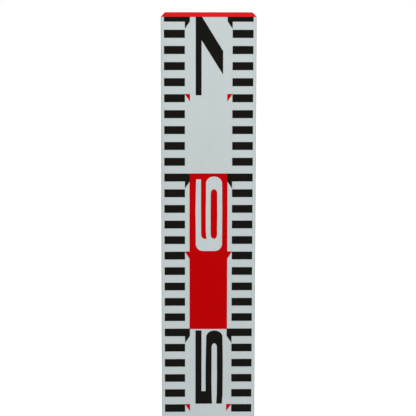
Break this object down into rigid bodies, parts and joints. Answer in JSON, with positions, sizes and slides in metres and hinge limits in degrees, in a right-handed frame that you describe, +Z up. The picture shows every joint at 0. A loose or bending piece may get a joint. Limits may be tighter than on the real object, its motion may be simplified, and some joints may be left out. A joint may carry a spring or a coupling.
{
  "type": "leveling staff",
  "caption": "Telescopic leveling staff, closed: nested rectangular tubes with a centimetre scale, spring button locks, a bevelled cap, a foot plate and a folding circular level.",
  "frame": {"origin": "centre of the foot plate's underside, the zero of the scale", "axes": "+Z up along the staff, -Y out of the printed front, +Y out of the back, +X to the right seen from the front"},
  "size_m": [0.06, 0.0458, 0.7008],
  "materials": {
    "coated_aluminium": "satin coated, printed scale",
    "red_plastic": "moulded",
    "black_plastic": "fine moulded grain",
    "guide_nylon": "smooth",
    "steel": "bright",
    "spring_steel": "blued strip",
    "foot_steel": "brushed",
    "rivet_aluminium": "plain",
    "clear_acrylic": "clear",
    "vial_liquid": "tinted liquid",
    "vial_air": "clear"
  },
  "bodies": {
    "section_1": {"section_tube_1": "coated_aluminium", "plug_pins_1": "steel", "mouth_bush_1": "guide_nylon", "foot_plate": "foot_steel", "foot_plug": "black_plastic", "foot_screws": "steel", "level_base": "black_plastic", "level_rivets": "rivet_aluminium", "level_hinge_pin": "steel"},
    "section_2": {"section_tube_2": "coated_aluminium", "plug_pins_2": "steel", "mouth_bush_2": "guide_nylon", "end_plug_2": "black_plastic", "lock_spring_2": "spring_steel"},
    "section_3": {"section_tube_3": "coated_aluminium", "plug_pins_3": "steel", "mouth_bush_3": "guide_nylon", "end_plug_3": "black_plastic", "lock_spring_3": "spring_steel"},
    "section_4": {"section_tube_4": "coated_aluminium", "plug_pins_4": "steel", "mouth_bush_4": "guide_nylon", "end_plug_4": "black_plastic", "lock_spring_4": "spring_steel"},
    "section_5": {"section_tube_5": "coated_aluminium", "plug_pins_5": "steel", "end_plug_5": "black_plastic", "lock_spring_5": "spring_steel", "top_cap": "red_plastic", "cap_pins": "steel"},
    "button_2": {"lock_button_2": "steel"},
    "button_3": {"lock_button_3": "steel"},
    "button_4": {"lock_button_4": "steel"},
    "button_5": {"lock_button_5": "steel"},
    "level": {"level_arm": "black_plastic", "level_vial": "clear_acrylic", "level_liquid": "vial_liquid", "level_bubble": "vial_air", "level_bezel": "black_plastic"}
  },
  "joints": [
    {"name": "section_2_slide", "type": "slide", "parent": "section_1", "child": "section_2", "axis": [0, 0, 1], "range_m": [0, 0.5748]},
    {"name": "section_3_slide", "type": "slide", "parent": "section_2", "child": "section_3", "axis": [0, 0, 1], "range_m": [0, 0.5748]},
    {"name": "section_4_slide", "type": "slide", "parent": "section_3", "child": "section_4", "axis": [0, 0, 1], "range_m": [0, 0.5748]},
    {"name": "section_5_slide", "type": "slide", "parent": "section_4", "child": "section_5", "axis": [0, 0, 1], "range_m": [0, 0.5748]},
    {"name": "button_2_press", "type": "slide", "parent": "section_2", "child": "button_2", "axis": [0, 1, 0], "range_m": [-0.0009, 0], "stiffness_N_per_m": 600, "springref_m": 0.0038, "deforming": ["lock_spring_2"]},
    {"name": "button_3_press", "type": "slide", "parent": "section_3", "child": "button_3", "axis": [0, 1, 0], "range_m": [-0.0009, 0], "stiffness_N_per_m": 600, "springref_m": 0.0038, "deforming": ["lock_spring_3"]},
    {"name": "button_4_press", "type": "slide", "parent": "section_4", "child": "button_4", "axis": [0, 1, 0], "range_m": [-0.0009, 0], "stiffness_N_per_m": 600, "springref_m": 0.0038, "deforming": ["lock_spring_4"]},
    {"name": "button_5_press", "type": "slide", "parent": "section_5", "child": "button_5", "axis": [0, 1, 0], "range_m": [-0.0009, 0], "stiffness_N_per_m": 600, "springref_m": 0.0038, "deforming": ["lock_spring_5"]},
    {"name": "level_fold", "type": "hinge", "parent": "section_1", "child": "level", "pos_m": [0, 0.0214, 0.36], "axis": [1, 0, 0], "range_deg": [0, 90]}
  ]
}
